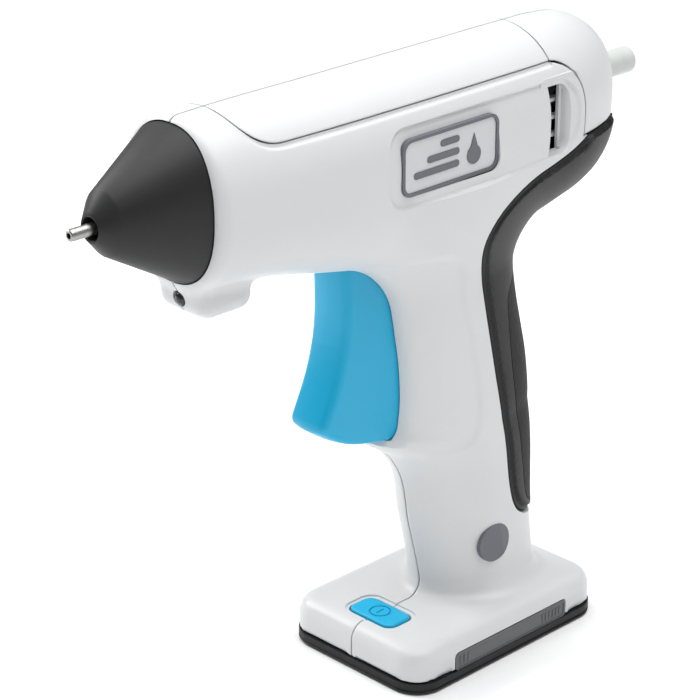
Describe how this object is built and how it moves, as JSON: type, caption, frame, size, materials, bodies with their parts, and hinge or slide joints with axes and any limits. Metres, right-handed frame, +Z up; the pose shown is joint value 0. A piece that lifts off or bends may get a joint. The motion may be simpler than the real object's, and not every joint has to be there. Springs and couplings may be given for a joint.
{
  "type": "cordless hot glue gun",
  "caption": "Cordless hot-melt glue gun that stands on its foot: pulling the trigger feeds a glue stick through the heated barrel to the nozzle.",
  "frame": {"origin": "centre of the underside of the foot, where the gun stands", "axes": "+X forward along the barrel to the nozzle, +Y to the holder's left, +Z up"},
  "size_m": [0.1899, 0.0492, 0.1658],
  "materials": {
    "housing": "injection moulded ABS, white, satin",
    "soft_grip": "overmoulded TPE, black, smooth",
    "soft_pad": "overmoulded TPE pad, dark grey, matt",
    "nose": "heat-resistant nylon, charcoal, satin",
    "nozzle_metal": "turned steel",
    "trim": "printed and moulded trim, grey",
    "foot_rubber": "moulded rubber, black",
    "clear_lens": "clear moulded acrylic",
    "board": "glass-fibre board with solder mask",
    "steel": "zinc-plated steel",
    "inner_plastic": "glass-filled nylon, black",
    "silicone": "moulded silicone, red",
    "cast_aluminium": "die-cast aluminium",
    "ceramic": "PTC ceramic heater in film",
    "mica": "pressed mica sheet",
    "lead": "insulated wire",
    "cell_wrap": "shrink film round a steel can",
    "blue": "injection moulded ABS, sky blue",
    "glue": "hot-melt adhesive, milky"
  },
  "bodies": {
    "gun_body": {"housing_left": "housing", "housing_right": "housing", "top_cover_left": "housing", "top_cover_right": "housing", "rear_cover_left": "housing", "rear_cover_right": "housing", "back_grip": "soft_grip", "grip_pad": "soft_pad", "nose_cone": "nose", "nozzle": "nozzle_metal", "badge_left": "trim", "badge_right": "trim", "grip_inlay_left": "trim", "grip_inlay_right": "trim", "side_strip_left": "trim", "side_strip_right": "trim", "foot": "foot_rubber", "lamp_lens": "clear_lens", "lamp_board": "board", "trigger_pin": "steel", "lever_pin": "steel", "feed_spring": "steel", "guide_bush": "inner_plastic", "inlet_sleeve": "silicone", "melt_tube": "cast_aluminium", "heater_element": "ceramic", "heater_clip": "steel", "thermal_fuse": "steel", "heat_shield": "mica", "heater_lead": "lead", "lamp_lead": "lead", "battery_cell": "cell_wrap", "circuit_board": "board", "switch_body": "inner_plastic", "charge_socket": "steel", "barrel_front_screw": "steel", "barrel_rear_screw": "steel", "grip_upper_screw": "steel", "grip_lower_screw": "steel", "foot_screw_front_left": "steel", "foot_screw_front_right": "steel", "foot_screw_rear_left": "steel", "foot_screw_rear_right": "steel"},
    "trigger": {"trigger": "blue"},
    "feed_lever": {"feed_lever": "inner_plastic"},
    "feed_carriage": {"feed_carriage": "inner_plastic"},
    "glue_stick": {"glue_stick": "glue"},
    "power_button": {"power_button": "blue"}
  },
  "joints": [
    {"name": "trigger_pull", "type": "hinge", "parent": "gun_body", "child": "trigger", "pos_m": [0.036, 0, 0.1215], "axis": [0, 1, 0], "range_deg": [0, 16], "stiffness_Nm_per_rad": 1, "springref_deg": -5.73},
    {"name": "feed_lever_turn", "type": "hinge", "parent": "gun_body", "child": "feed_lever", "pos_m": [0.002, 0, 0.114], "axis": [0, 1, 0], "range_deg": [0, 21]},
    {"name": "feed_slide", "type": "slide", "parent": "gun_body", "child": "feed_carriage", "axis": [1, 0, 0], "range_m": [0, 0.0071], "deforming": ["feed_spring"]},
    {"name": "stick_slide", "type": "slide", "parent": "gun_body", "child": "glue_stick", "axis": [1, 0, 0], "range_m": [-0.105, 0.02]},
    {"name": "button_press", "type": "slide", "parent": "gun_body", "child": "power_button", "axis": [0, 0, -1], "range_m": [0, 0.001], "stiffness_N_per_m": 400, "springref_m": -0.001}
  ],
  "couplings": [
    {"joint": "feed_lever_turn", "follows": "trigger_pull", "ratio": 1.24},
    {"joint": "feed_slide", "follows": "trigger_pull", "m_per_rad": 0.0243}
  ]
}
